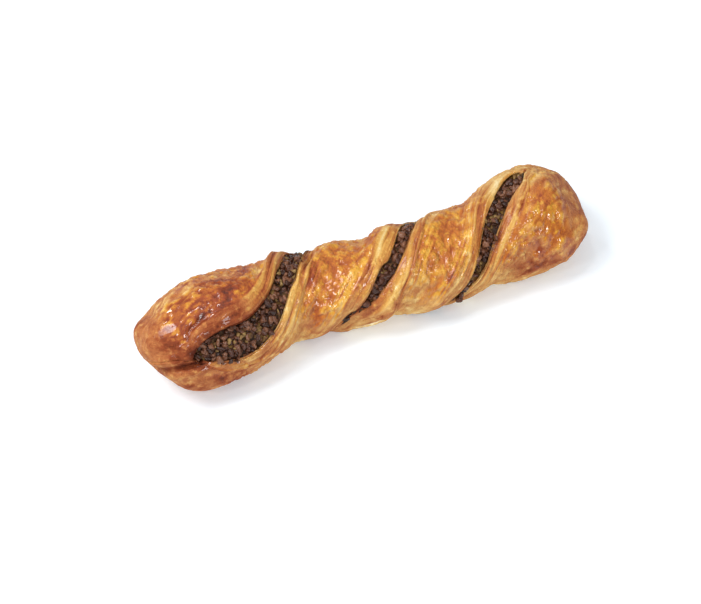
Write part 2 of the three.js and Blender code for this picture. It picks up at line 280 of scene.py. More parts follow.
def along(stations, x):
    """The smooth curve through stations (x, value), flat beyond its ends."""
    xs, vs = np.array(stations, float).T
    last = len(xs) - 1
    before = np.maximum(np.arange(last + 1) - 1, 0)
    after = np.minimum(np.arange(last + 1) + 1, last)
    slope = (vs[after] - vs[before]) / (xs[after] - xs[before])
    x = np.clip(x, xs[0], xs[-1])
    i = np.clip(np.searchsorted(xs, x, side="right") - 1, 0, last - 1)
    span = xs[i + 1] - xs[i]
    t = (x - xs[i]) / span
    ease = t * t * (3 - 2 * t)
    leaving = span * slope[i] * t * (1 - t) ** 2
    arriving = span * slope[i + 1] * t ** 2 * (1 - t)
    return vs[i] + (vs[i + 1] - vs[i]) * ease + leaving - arriving


def smooth(v, low, high):
    """0 below low, 1 above high, and smooth between."""
    t = np.clip((v - low) / (high - low), 0, 1)
    return t * t * (3 - 2 * t)


def window(v, start, full, fading, end):
    """1 from full to fading, 0 before start and after end, and smooth between."""
    return smooth(v, start, full) * (1 - smooth(v, fading, end))


def bell(v, width):
    """1 where v is 0, falling off smoothly on both sides."""
    return np.exp(-((v / width) ** 2))


def signed_power(v, power):
    return np.sign(v) * np.abs(v) ** power


def scatter(i, j, k, seed):
    """A fixed pseudo-random value from 0 to 1 for each lattice point."""
    h = (i * 374761393 + j * 668265263 + k * 2147483647 + seed * 1274126177) & 0xFFFFFFFF
    h = ((h ^ (h >> 13)) * 1274126177) & 0xFFFFFFFF
    h = ((h ^ (h >> 15)) * 2246822519) & 0xFFFFFFFF
    return ((h ^ (h >> 16)) & 0xFFFFFF) / 0xFFFFFF


def noise(x, y, z, seed):
    """Smooth noise from -1 to 1, one bump a unit."""
    x, y, z = np.broadcast_arrays(x, y, z)
    cells = [np.floor(v).astype(np.int64) for v in (x, y, z)]
    fx, fy, fz = (smooth(v - c, 0, 1) for v, c in zip((x, y, z), cells))
    total = 0
    for i in (0, 1):
        for j in (0, 1):
            for k in (0, 1):
                share = np.abs((1 - i - fx) * (1 - j - fy) * (1 - k - fz))
                total = total + share * scatter(cells[0] + i, cells[1] + j, cells[2] + k, seed)
    return 2 * total - 1


def bubbles(x, y, z, seed):
    """Domes from 0 to 1 high, one in most unit cells, each of its own size."""
    cells = [np.floor(v).astype(np.int64) for v in (x, y, z)]
    best = np.zeros(np.shape(x))
    for i in (-1, 0, 1):
        for j in (-1, 0, 1):
            for k in (-1, 0, 1):
                ci, cj, ck = cells[0] + i, cells[1] + j, cells[2] + k
                cx = ci + scatter(ci, cj, ck, seed + 1)
                cy = cj + scatter(ci, cj, ck, seed + 2)
                cz = ck + scatter(ci, cj, ck, seed + 3)
                there = scatter(ci, cj, ck, seed + 4) < BLISTER_SHARE
                radius = 0.35 + 0.45 * scatter(ci, cj, ck, seed + 5)
                d2 = (x - cx) ** 2 + (y - cy) ** 2 + (z - cz) ** 2
                dome = np.sqrt(np.clip(1 - d2 / radius ** 2, 0, 1)) * radius / 0.8
                best = np.maximum(best, dome * there)
    return best


# ---- The strip's form ----

def filling_half(x):
    left = np.clip((x - FILLING_LEFT) / LEFT_TAPER, 0, 1)
    right = np.clip((FILLING_RIGHT - x) / RIGHT_TAPER, 0, 1)
    ends = np.sqrt(1 - (1 - left) ** 2) * np.sqrt(1 - (1 - right) ** 2)
    return np.maximum(TIP_ROUND, along(FILLING_THICKNESS, x) / 2 * ends)


def end_shrink(x, side=0.0):
    """How far the cross-section has shrunk at x, from 1 along the body to 0 at the ends."""
    left = np.clip((LEFT_END + LEFT_CAP - x) / LEFT_CAP, 0, 1)
    right = np.clip((x - RIGHT_END + RIGHT_CAP) / RIGHT_CAP, 0, 1)
    left_power = LOWER_CAP_POWER + (UPPER_CAP_POWER - LOWER_CAP_POWER) * (side + 1) / 2
    left_cap = np.clip(1 - left ** left_power, 0, 1) ** (1 / left_power)
    return left_cap * np.clip(1 - right ** RIGHT_CAP_POWER, 0, 1) ** (1 / RIGHT_CAP_POWER)


def place(x, p, q):
    """Where a point of the straight strip lies once it is twisted, laid down and pressed, in mm."""
    turn = np.radians(along(TURN, x))
    up = p * np.sin(turn) + q * np.cos(turn)
    back = q * np.sin(turn) - p * np.cos(turn) + along(SWAY, x)
    lift = along(HALF_THICKNESS, x) * (1 - PRESSED)
    pressed = PRESS_SOFTNESS * np.logaddexp(0, (lift + up) / PRESS_SOFTNESS) - BASE_CUT
    lean = np.where(q > 0, UPPER_LEAN, LOWER_LEAN) * q * smooth(-x, *LEAN_RAMP)
    lean = lean + RIGHT_LEAN * p * smooth(x, *LEAN_RAMP)
    return np.stack([x - lean - CENTRE[0], back - CENTRE[1], np.maximum(pressed, 0)], -1)


# ---- Meshes ----

def new_object(name, points, faces):
    """A smooth mesh object from points in millimetres and lists of faces of one length each."""
    mesh = bpy.data.meshes.new(name)
    mesh.vertices.add(len(points))
    mesh.vertices.foreach_set("co", (points * MM).astype(np.float32).ravel())
    corners = np.concatenate([f.ravel() for f in faces])
    sizes = np.concatenate([np.full(len(f), f.shape[1]) for f in faces])
    mesh.loops.add(len(corners))
    mesh.loops.foreach_set("vertex_index", corners.astype(np.int32))
    mesh.polygons.add(len(sizes))
    starts = np.concatenate([[0], np.cumsum(sizes)[:-1]])
    mesh.polygons.foreach_set("loop_start", starts.astype(np.int32))
    mesh.update(calc_edges=True)
    mesh.validate()
    mesh.shade_smooth()
    obj = bpy.data.objects.new(name, mesh)
    bpy.context.scene.collection.objects.link(obj)
    return obj


def grid_faces(rows, columns):
    """Quads of a grid that closes round its columns, and triangles to a pole before and after."""
    def at(row, column):
        return 1 + row * columns + column % columns

    i, j = np.meshgrid(np.arange(rows - 1), np.arange(columns), indexing="ij")
    quads = np.stack([at(i, j), at(i + 1, j), at(i + 1, j + 1), at(i, j + 1)], -1).reshape(-1, 4)
    c = np.arange(columns)
    first = np.stack([np.zeros_like(c), at(0, c), at(0, c + 1)], -1)
    last = np.stack([np.full_like(c, 1 + rows * columns), at(rows - 1, c + 1), at(rows - 1, c)], -1)
    return [quads, first, last]


def set_attribute(obj, name, values, kind="FLOAT"):
    attribute = obj.data.attributes.new(name, kind, "POINT")
    field = "value" if kind == "FLOAT" else "vector"
    attribute.data.foreach_set(field, np.asarray(values, np.float32).ravel())


def row_stations():
    """The x of each row, close together at the ends."""
    left = LEFT_END + LEFT_CAP
    right = RIGHT_END - RIGHT_CAP
    arc = np.sin(np.linspace(0, math.pi / 2, CAP_ROWS + 1))[1:-1]
    body = np.linspace(left, right, round((right - left) / ROW_STEP) + 1)
    return np.concatenate([(left - LEFT_CAP * arc)[::-1], body, right + RIGHT_CAP * arc])


def opening(x, leaf, side):
    """How far from the middle the lip of one leaf lies, before it is kept apart from the other."""
    return filling_half(x) - LIP_CLOSE - along(LIPS[leaf, side], x)


def quarter(x, leaf, side):
    """Columns of one quarter of the section at each x: pocket, cut edge and half a face."""
    x = x[:, None]
    half_q = along(HALF_THICKNESS, x)
    half_p = along(HALF_WIDTH, x)
    power = 2 / SECTION_POWER
    inner = np.maximum(opening(x, leaf, side), TIP_ROUND)
    outer = np.maximum(filling_half(x) - LIP_CLOSE, TIP_ROUND) + along(EDGE_THICKNESS, x)
    outer = np.minimum(outer, FACE_LIMIT * half_q)

    edge_q = inner + (outer - inner) * np.linspace(0, 1, EDGE_COLUMNS)
    edge_angle = np.arcsin((edge_q / half_q) ** (SECTION_POWER / 2))
    left = math.pi / 2 - edge_angle[:, -1:]
    face_angle = edge_angle[:, -1:] + left * np.linspace(0, 1, FACE_COLUMNS + 1)[1:]
    angle = np.concatenate([edge_angle, face_angle], 1)
    p = half_p * signed_power(np.cos(angle), power)
    q = half_q * signed_power(np.sin(angle), power)

    lip = p[:, :1]
    open_share = smooth(inner, TIP_ROUND, 3 * TIP_ROUND)
    floor = lip + (POCKET_FLOOR - lip) * open_share - FLOOR_SINK
    pocket_p = floor + (lip - floor) * np.linspace(0, 1, POCKET_COLUMNS + 1)[:-1]
    pocket_q = np.repeat(inner, POCKET_COLUMNS, 1)
    angle = np.concatenate([np.repeat(edge_angle[:, :1], POCKET_COLUMNS, 1), angle], 1)
    return np.concatenate([pocket_p, p], 1), np.concatenate([pocket_q, q], 1), angle


def straight_skin():
    """The skin before its relief: x, p, q, and each column's kind, side and leaf."""
    xs = row_stations()
    kinds = np.array([0] * POCKET_COLUMNS + [1] * EDGE_COLUMNS + [2] * FACE_COLUMNS)
    forward = slice(None)
    backward = slice(-2, None, -1)  # without the middle of the face, which the last quarter has
    ps, qs, kind, side, leaf = [], [], [], [], []
    for sp, sq, order in ((1, 1, forward), (-1, 1, backward), (-1, -1, forward), (1, -1, backward)):
        p, q, angle = quarter(xs, sq, sp)
        shrink = end_shrink(xs[:, None], sq * np.sin(angle[:, order]))
        ps.append(sp * p[:, order] * shrink)
        qs.append(sq * q[:, order] * shrink)
        kind.append(kinds[order])
        side.append(np.full(len(kinds[order]), sp))
        leaf.append(np.full(len(kinds[order]), sq))
    x = np.repeat(xs[:, None], sum(len(k) for k in kind), 1)
    return (x, np.concatenate(ps, 1), np.concatenate(qs, 1),
            np.concatenate(kind), np.concatenate(side), np.concatenate(leaf))


def grid_normals(points):
    """Unit normals, pointing out, of a grid of points that closes round its columns."""
    down = np.gradient(points, axis=0)
    across = np.roll(points, -1, 1) - np.roll(points, 1, 1)
    normal = np.cross(down, across)
    normal = normal / np.maximum(np.linalg.norm(normal, axis=-1, keepdims=True), 1e-9)
    from_middle = points - points.mean(1, keepdims=True)
    return normal * np.sign((normal * from_middle).sum())


def seal_normals(outward, closed, kind, side):
    """Turns the normals in closed pockets outwards, as they are at the two lips beside them."""
    at_lip = (np.roll(kind, 1) + np.roll(kind, -1) == 1) & (kind == 1)
    for sp in (1, -1):
        lips = outward[:, at_lip & (side == sp)].sum(1, keepdims=True)
        lips /= np.maximum(np.linalg.norm(lips, axis=-1, keepdims=True), 1e-9)
        here = (kind == 0) & (side == sp)
        outward[:, here] = np.where(closed[:, here, None], lips, outward[:, here])


# ---- The skin's zones, relief, baking and painted shade ----

def skin_zones():
    """The skin's points in strip coordinates, and how far they belong to each zone, from 0 to 1.

    gap is how far off the middle the lip lies, off_seam and over_seam are how far off the closed
    seams a point lies, and depth is 0 at the lip and 1 where the cut edge ends.
    """
    x, p, q, kind, side, leaf = straight_skin()
    z = SimpleNamespace(x=x, p=p, q=q, kind=kind, side=side, leaf=leaf)
    z.straight = np.stack([x, p, q], -1)
    z.placed = np.moveaxis(place(x, p, q), -1, 0)
    z.gap = np.zeros(x.shape)
    for sq, sp in LIPS:
        here = (leaf == sq) & (side == sp)
        z.gap[:, here] = opening(x[:, here], sq, sp)
    z.pocket = (kind == 0)[None, :] & (z.gap > TIP_ROUND)
    z.off_seam = q - SEAM_SHIFT * (side == -1) * window(-x, 13, 20, 30, 42)
    z.over_seam = q + END_SEAM_DROP * smooth(-x, *SEAM_DROPS) * smooth(p, -3, 5)

    past_filling = np.maximum(0, x - FILLING_RIGHT) + np.maximum(0, FILLING_LEFT - x) * (leaf == 1)
    reach = filling_half(x) - LIP_CLOSE + along(EDGE_THICKNESS, x) - z.gap
    z.depth = (np.hypot(past_filling, z.off_seam) - z.gap) / reach
    z.on_side = smooth(np.abs(p), *CUT_SIDE)
    z.edge = z.on_side * (1 - smooth(z.depth, *EDGE_END))
    z.face = 1 - z.edge
    z.blend = smooth(z.edge, 0.2, 0.8)
    z.near = np.exp(-np.clip(z.depth - 1, 0, None) / NEAR_EDGE) * z.on_side * z.face
    z.pinched = smooth(-x, -FILLING_LEFT - PINCH, -FILLING_LEFT)
    z.rolled = (side == 1) * (leaf == 1) * smooth(-x, *ROLLED_BAND)
    return z


def edge_layers(x, q, depth, side, leaf):
    """Relief in mm, and tone, of the layers that show on the cut edges; the tone is darker in their
    crevices, painted shade.
    """
    edge_id = 10 * side + 20 * leaf
    wander = noise(x / 15, edge_id + 0.5, 0.5, SEED)
    wander = wander + 0.5 * noise(x / 6, q / 4, edge_id + 0.5, SEED + 1)
    spread = 0.35 * noise(depth * 4, edge_id + 0.5, x / 30, SEED + 13)
    phase = depth * LAYERS + LAYER_WAVE * wander + spread
    index = np.floor(phase)
    within = phase - index
    ledge = noise(x / 11, index + 0.5, edge_id + 0.5, SEED + 2)
    before = noise(x / 11, index - 0.5, edge_id + 0.5, SEED + 2)
    after = noise(x / 11, index + 1.5, edge_id + 0.5, SEED + 2)
    soft = (1 - smooth(within, 0, 0.35)) * (before - ledge) / 2
    soft = soft + smooth(within, 0.65, 1) * (after - ledge) / 2
    open_here = smooth(noise(x / 7, np.round(phase) + 0.5, edge_id, SEED + 3), -0.1, 0.6)
    crevice = np.abs(2 * within - 1) ** 4 * open_here
    fold = noise(x / 13 + 0.4 * wander, depth * 3.4 + 0.5 * wander, edge_id, SEED + 18)
    flake = noise(x / 6, depth * 6, edge_id, SEED + 19)
    pale = (1 - np.abs(noise(x / 12 + wander, depth * 3, edge_id, SEED + 24))) ** 5
    dark = (1 - np.abs(noise(x / 10 - wander, depth * 2.6, edge_id, SEED + 25))) ** 9
    ledge = ledge + soft
    relief = LEDGE * ledge - CREVICE * crevice + FOLD * fold + FLAKE * flake - DARK_LAYER * dark
    # Darker in the open crevices: painted shade.
    tone = 0.08 * ledge + 0.2 * crevice - 0.13 * fold - 0.1 * flake + 0.2 * dark
    return relief, tone - 0.17 * (pale - 0.1)


def face_relief(x, placed):
    """Height in mm of the glazed faces, and the domes of their large and small blisters."""
    bend = BEND * noise(*(placed / 5), SEED + 14)
    blister = bubbles(*((placed + bend) / BLISTER_SIZE), SEED + 6)
    small = bubbles(*((placed - bend) / SMALL_BLISTER_SIZE), SEED + 7)
    wrinkle = 1 - 2 * np.abs(noise(*((placed + 2 * bend) / WRINKLE_SIZE), SEED + 15))
    away = placed - np.array(RING_CENTRE)[:, None, None]
    rings = noise(np.linalg.norm(away, axis=0) / 2, away[1] / 9, away[2] / 9, SEED + 17)
    folded = smooth(x, *FOLDED_END)
    wrinkle = wrinkle * (1 - folded) + (1 - 2 * np.abs(rings)) * folded
    fine = smooth(-x, *LOBE)
    broad = smooth(x, *BROAD_END)
    height = BLISTER * (1 - 0.65 * fine) * blister
    height = height + SMALL_BLISTER * (1 + 0.3 * fine - 0.4 * broad) * small
    height = height + WRINKLE * (1 - 0.8 * fine - 0.3 * broad) * wrinkle
    strength = 1 - 0.85 * smooth(-x, 86, 99) - 0.2 * smooth(-x, 62, 76)
    strength += 0.4 * broad - 1.1 * smooth(x, 92, 102)
    return height * strength, blister, small


def patches(straight, table):
    """The sum of soft round patches at places of the straight strip."""
    total = 0
    for middle, width, change in table:
        away = np.linalg.norm(straight - np.array(middle), axis=-1)
        total = total + change * bell(away, width)
    return total


def add_texture(z):
    """Adds to the zones what both the relief and the baking follow."""
    z.layers, z.layer_tone = edge_layers(z.x, z.q, z.depth, z.side[None, :], z.leaf[None, :])
    z.calm = 1 - 0.7 * (z.side == -1) * window(-z.x, 12, 17, 34, 46)
    z.edge_shown = z.edge * ~z.pocket
    set_in = smooth(z.depth, -0.02, 0.12)
    z.layered = z.edge_shown * (1 - 0.75 * z.pinched) * set_in * z.calm
    crease = CREASE * z.on_side * bell(z.depth - 1.1, 0.19) * z.rolled
    z.crease = crease * smooth(-z.x, *BAND_CREASE) * (1 - 0.6 * smooth(-z.x, 84, 96))
    z.blistering, z.blister, z.small = face_relief(z.x, z.placed)
    z.streak = noise(z.x / 11, z.p / 1.3, z.q / 1.3, SEED + 8)
    blotch = 0.5 * noise(*(z.placed / 9), SEED + 10)
    z.blotch = blotch + 0.5 * noise(*(z.placed / 3.5), SEED + 11)
    z.nose = smooth(-z.x - 3 * z.blotch, *NOSE)


def edge_height(z):
    """How far the cut edges stand out, in mm: layers, round lips, rims and the rolled band."""
    layers = z.layers * z.layered * (1 - 0.75 * z.rolled)
    lip_side = 1 - smooth(z.depth, 0, 0.2)
    lip = LIP_ROUND * z.edge_shown * lip_side * (1 - z.pinched) * z.calm
    uneven = 0.5 + 0.5 * noise(z.x / 9, z.side, z.leaf, SEED + 4)
    rim = RIM * z.on_side * bell(z.depth - 1.02, 0.16) * uneven
    roll = ROLL * z.on_side * np.clip(1 - (2 * z.depth - 1) ** 2, 0, 1) * z.rolled
    return layers - lip + rim - z.crease + roll


def seam_height(z):
    """The groove of the seam at the left end, and the upper leaf's overhang above it."""
    shown = np.maximum(z.on_side, 0.5 * smooth(-z.x, 100, 105))
    groove = SEAM_DEPTH * z.pinched * bell(z.over_seam, SEAM_WIDTH) * shown
    overhang = OVERHANG * bell(z.over_seam - 3.4, 2.4) * smooth(-z.x, *SEAM_OVERHANG)
    return overhang * (z.p > 0) * z.on_side - groove


def skin_height(z):
    """How far the skin stands out of the straight strip, in mm."""
    faces = z.blistering * z.face * (1 - 0.6 * z.near) - FACE_SINK * z.face
    lumps = LUMP * noise(*(z.placed / 13), SEED + 5)
    streaks = STREAK * z.streak * (0.4 * z.face + z.near)
    height = edge_height(z) + faces + lumps + streaks + seam_height(z)
    height = height * smooth(end_shrink(z.x), 0, 0.5) + patches(z.straight, SWELLS)
    return np.where(z.pocket, 0, height)


def edge_bake_and_painted_shade(z):
    """How dark the cut edges are baked, with painted shade in the layers' crevices and on the rolled
    band towards the opening.
    """
    bake_and_painted_light = np.zeros(z.x.shape)
    for (sq, sp), stations in EDGE_BAKE.items():
        here = (z.leaf == sq) & (z.side == sp)
        bake_and_painted_light[:, here] = along(stations, z.x[:, here])
    streaky = noise(z.x / 8, z.p / 0.8, z.q / 0.8, SEED + 9)
    plate = noise(z.x / 7, z.depth * 4.5, z.side * 3 + z.leaf, SEED + 16)
    layers = z.layer_tone * z.layered * (1 - 0.4 * z.rolled)
    # The rolled band is browner, and darker towards the opening: there painted shade.
    rolled_tone_and_shade = 0.12 + 0.3 * (0.5 - np.clip(z.depth, 0, 1))
    return bake_and_painted_light + layers + 0.09 * streaky + 0.09 * plate + z.rolled * rolled_tone_and_shade * (1 - z.nose)


def face_bake_and_painted_light(z, height_share):
    """How dark the faces are baked: darker high up; darker between the blisters and paler on their
    tops, partly crust and partly painted shade and highlight.
    """
    # Darker between the blisters, paler on their tops: partly crust, partly painted shade and
    # highlight.
    marks_and_painted_light = 0.17 * z.blotch + 0.17 * (0.35 - z.blister) + 0.1 * (0.3 - z.small)
    bake_and_painted_light = along(FACE_BAKE, z.x) + marks_and_painted_light * (1 - 0.6 * z.nose)
    # The lobe's small blister tops are painted paler: partly their thin crust, partly painted
    # highlights.
    pale_and_highlit_tops = smooth(z.small, 0.45, 0.7) * smooth(-z.x, *LOBE) * (1 - z.nose) * (z.leaf == 1)
    middle = 1 - smooth(np.abs(z.x + 5), 45, 65)
    bake_and_painted_light += (0.22 + 0.2 * middle) * (height_share - 0.6) + 0.02 - 0.27 * pale_and_highlit_tops
    bake_and_painted_light += 0.13 * z.streak * (0.5 + z.near) - 0.16 * z.near
    bake_and_painted_light += 0.16 * smooth(z.x, 60, 80) * (1 - smooth(height_share, 0.3, 0.7))
    return bake_and_painted_light


def line_bake_and_painted_shade(z):
    """What single lines add: a darker closed seam, painted shade in the crease, a painted shadow under
    the left end's overhang, and browner rims.
    """
    shut = (1 - smooth(z.gap, TIP_ROUND, 2 * TIP_ROUND)) * window(z.x, -17, -13, 50, 60)
    closed_seam = 0.35 * shut * bell(z.off_seam, 0.9) * z.on_side
    # A painted shadow along the left end's seam, under the upper leaf's overhang.
    end_seam_shadow = 0.16 * z.pinched * bell(z.over_seam, 1.1) * z.on_side * (z.x < 0)
    uneven = smooth(noise(z.x / 6, z.side, z.leaf, SEED + 12), -0.2, 0.5)
    rim_share = uneven * (1 - z.pinched) * (1 - smooth(z.x, 62, 80))
    rims = 0.1 * z.on_side * bell(z.depth - 1.05, 0.1) * rim_share
    # The crease is darkened as painted shade.
    return 0.15 * z.crease + closed_seam + end_seam_shadow + rims


def skin_bake_and_painted_light(z, height_share):
    """How dark the skin is baked, painted shade and highlight included, from 0 for cream to 1 for the
    darkest brown.
    """
    bake_and_painted_light = face_bake_and_painted_light(z, height_share) * (1 - z.blend) + edge_bake_and_painted_shade(z) * z.blend
    low_leaf = smooth(-z.over_seam, -0.4, 0.4) * smooth(-z.x, *UNDER_SEAM) * z.face
    return bake_and_painted_light + line_bake_and_painted_shade(z) + patches(z.straight, TINTS) + low_leaf * (0.13 + 0.08 * z.blotch)


def skin_glaze(z, points):
    """How much glaze lies on the skin, from 0 to 1: most on what looks towards the brush."""
    normal = grid_normals(points)
    at_right = smooth(z.x, *RIGHT_FACE)
    towards = normal @ np.array(GLAZED_SIDE) / np.linalg.norm(GLAZED_SIDE) * (1 - at_right)
    towards += normal @ np.array(GLAZED_SIDE_RIGHT) / np.linalg.norm(GLAZED_SIDE_RIGHT) * at_right
    shine = towards + 0.12 * z.blotch - 0.08 * at_right
    glaze = (1 - 0.5 * z.blend) * smooth(shine, 0.5, 0.88)
    glaze *= 1 - 0.9 * z.nose
    glaze *= 1 - 0.6 * z.rolled * z.blend * smooth(-z.x, 50, 62)
    return glaze * (1 - 0.85 * smooth(z.x, *DULL_END))


def pastry_skin():
    """The skin's points in mm, where they lie in the strip, their bake with painted shade and
    highlight, glaze and cut edge.
    """
    z = skin_zones()
    add_texture(z)
    outward = grid_normals(z.straight)
    seal_normals(outward, z.gap <= TIP_ROUND, z.kind, z.side)
    moved = z.straight + outward * skin_height(z)[..., None]
    rise = TIP_RISE * smooth(-z.x, *TIP) * smooth(z.q, -9, 1)
    points = place(moved[..., 0] + TIP_PULL * rise, moved[..., 1], moved[..., 2] + rise)
    height_share = points[:, :, 2] / PASTRY_HEIGHT
    return points, z.straight, skin_bake_and_painted_light(z, height_share), skin_glaze(z, points), z.edge


def make_pastry():
    points, straight, bake_and_painted_light, glaze, edge = pastry_skin()
    rows, columns = points.shape[:2]
    flat = np.concatenate([points[:1].mean(1), points.reshape(-1, 3), points[-1:].mean(1)])
    obj = new_object("pastry_skin", flat, grid_faces(rows, columns))

    def with_poles(values):
        values = values.reshape(rows * columns, -1)
        return np.concatenate([values[:columns].mean(0)[None], values, values[-columns:].mean(0)[None]])

    set_attribute(obj, "strip", with_poles(straight), "FLOAT_VECTOR")
    set_attribute(obj, "bake_and_painted_light", with_poles(bake_and_painted_light))
    set_attribute(obj, "glaze", with_poles(glaze))
    set_attribute(obj, "cut", with_poles(edge))
    obj.data.materials.append(pastry_material())
    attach(obj, "root")
    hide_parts("pastry")


# ---- Filling ----

def filling_reach(x):
    return along(HALF_WIDTH, x) * end_shrink(x) - FILLING_RECESS


def custard_half(x, p_share, leaf):
    """Half the custard's thickness towards one leaf, from one side's lip to the other's."""
    half = 0
    for side, share in ((1, (1 + p_share) / 2), (-1, (1 - p_share) / 2)):
        opened = np.maximum(opening(x, leaf, side) - filling_half(x) + 0.3, 0)
        half = half + share * opened
    return half + filling_half(x) - 0.1


def custard_section():
    """The custard's section: shares of its reach towards a side, and of its half thickness."""
    flat = np.linspace(1, -1, 9)
    bulge = np.sin(np.linspace(-math.pi / 2, math.pi / 2, 17))[1:-1]
    p_share = np.concatenate([np.ones(15), flat, -np.ones(15), -flat])[None, :]
    q_share = np.concatenate([bulge, np.ones(9), -bulge, -np.ones(9)])[None, :]
    return p_share, q_share


def make_custard():
    """The custard that the chips lie in: the twisted slab between the leaves, uneven at its sides, and
    dark: partly its own brown, partly painted shade of the gaps between the chips.
    """
    xs = np.arange(FILLING_LEFT, FILLING_RIGHT + CUSTARD_STEP, CUSTARD_STEP)[:, None]
    rise = CUSTARD_RISE * (1 - smooth(filling_half(xs), *TIGHT))
    p_share, q_share = custard_section()
    x = np.repeat(xs, p_share.shape[1], 1)
    half = np.where(q_share > 0, custard_half(x, p_share, 1), custard_half(x, p_share, -1))
    p = (filling_reach(xs) - CUSTARD_SINK + rise) * p_share
    q = half * q_share
    rough = CUSTARD_ROUGH * noise(x / 1.9, p / 2, q / 1.9, SEED + 20)
    rough = rough + CUSTARD_FINE * noise(x / 0.9, p, q / 0.9, SEED + 21)
    patchy = smooth(noise(x / 6, np.sign(q), p / 20, SEED + 23), -0.3, 0.4)
    brim = BRIM * bell(half - np.abs(q), 1.1) * patchy
    p = p + np.sign(p) * (rough + brim) * (np.abs(p_share) > 0.99)
    points = place(x, p, q)
    points[..., 2] = np.maximum(points[..., 2], CUSTARD_LIFT)
    first, last = (place(*np.array([[end, 0.0, 0.0]]).T) for end in (xs[0, 0] - 0.5, xs[-1, 0] + 0.5))
    flat_points = np.concatenate([first, points.reshape(-1, 3), last])
    obj = new_object("custard", flat_points, grid_faces(*points.shape[:2]))
    obj.data.materials.append(custard_material("custard_and_gap_shade", CORE_AND_GAP_SHADE_COLOURS))
    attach(obj, "root")
    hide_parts("filling")


def round_cube(steps):
    """Points and quads of a unit ball made of a cube's six grids."""
    bm = bmesh.new()
    bmesh.ops.create_cube(bm, size=2)
    bmesh.ops.subdivide_edges(bm, edges=bm.edges[:], cuts=steps - 1, use_grid_fill=True)
    points = np.array([v.co for v in bm.verts])
    faces = np.array([[v.index for v in f.verts] for f in bm.faces])
    bm.free()
    return points / np.linalg.norm(points, axis=1, keepdims=True), faces


def chunks(centres, radii, draw, flat_faces):
    """Joined chunks at centres in mm, broken to flat faces: points, quads and one tone for each."""
    base, faces = round_cube(4)
    all_points, all_faces, tones = [], [], []
    for n, (centre, radius) in enumerate(zip(centres, radii)):
        normals = draw.normal(size=(flat_faces, 3))
        normals /= np.linalg.norm(normals, axis=1, keepdims=True)
        reach = draw.uniform(*CHUNK_CUTS, flat_faces) / np.maximum(base @ normals.T, 0.05)
        r = np.minimum(reach.min(1), CHUNK_CORNERS)
        shift = draw.uniform(0, 90, 3)[:, None]
        r = r * (1 + CHUNK_ROUGH * noise(*(1.8 * base.T + shift), SEED + 30))
        squash = draw.uniform(*CHUNK_SQUASH, 3)
        turn, _ = np.linalg.qr(draw.normal(size=(3, 3)))
        all_points.append((base * r[:, None] * squash * radius) @ turn + centre)
        all_faces.append(faces + n * len(base))
        tones.append(np.full(len(base), draw.uniform()))
    return np.concatenate(all_points), np.concatenate(all_faces), np.concatenate(tones)


def spill(x, side):
    """How far the chips lie over the lower lip, in mm."""
    for spill_side, start, end, most in SPILLS:
        if side == spill_side and start < x < end:
            return most * min(1, (x - start) / 5, (end - x) / 5)
    return 0


def spot_reach(x, q, side, proud):
    """How far out of the middle a chip lies: in the filling's side, or on the lip beside it."""
    x = np.array(float(x))
    if abs(q) < opening(x, 1 if q > 0 else -1, side) + 0.3:
        return float(filling_reach(x)) + proud
    share = 1 - abs(q / float(along(HALF_THICKNESS, x))) ** SECTION_POWER
    return float(along(HALF_WIDTH, x) * end_shrink(x)) * share ** (1 / SECTION_POWER) + 0.3 * proud


def filling_spots(draw):
    """Centres scattered evenly over both open sides of the filling, in strip coordinates."""
    spots = []
    for side in (1, -1):
        for x in np.arange(CHIPS_FROM, CHIPS_TO, CHIP_ROW):
            at = np.array(x)
            low = -float(opening(at, -1, side)) - spill(x, side)
            high = float(opening(at, 1, side))
            tight = filling_half(at) < LEAST_ROOM and abs(x) < ENDS_FROM
            if tight or high - low < LEAST_OPENING:
                continue
            rows = max(1, round((high - low) / CHIP_SPACING) + 1)
            shift = draw.uniform(0.1, 0.9)
            for row in range(rows):
                q = low + (high - low) * (row + shift) / rows
                spot_x = x + draw.uniform(-0.4, 0.4) * CHIP_SPACING
                q = min(max(q + draw.uniform(-0.25, 0.25) * CHIP_SPACING, low), high - 0.4)
                out = spot_reach(spot_x, q, side, draw.uniform(*CHIP_PROUD))
                spots.append((spot_x, side * out, q))
    return np.array(spots)


def stray_spots():
    """The single chips where the filling runs out, in strip coordinates, and their radii."""
    x, side, q, proud, radii = np.array(STRAY_CHIPS).T
    return np.column_stack([x, side * (filling_reach(x) + proud), q]), radii


def make_pieces(name, spots, radii, draw, flat_faces, material):
    """Chunks at spots of the filling, in place of it."""
    centres = place(*spots.T)
    centres[:, 2] = np.maximum(centres[:, 2], radii * CHUNK_LIFT)
    points, faces, tones = chunks(centres, radii, draw, flat_faces)
    points[:, 2] = np.maximum(points[:, 2], 0)
    obj = new_object(name, points, [faces])
    set_attribute(obj, "tone", tones)
    obj.data.materials.append(material)
    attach(obj, "root")
    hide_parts("filling")


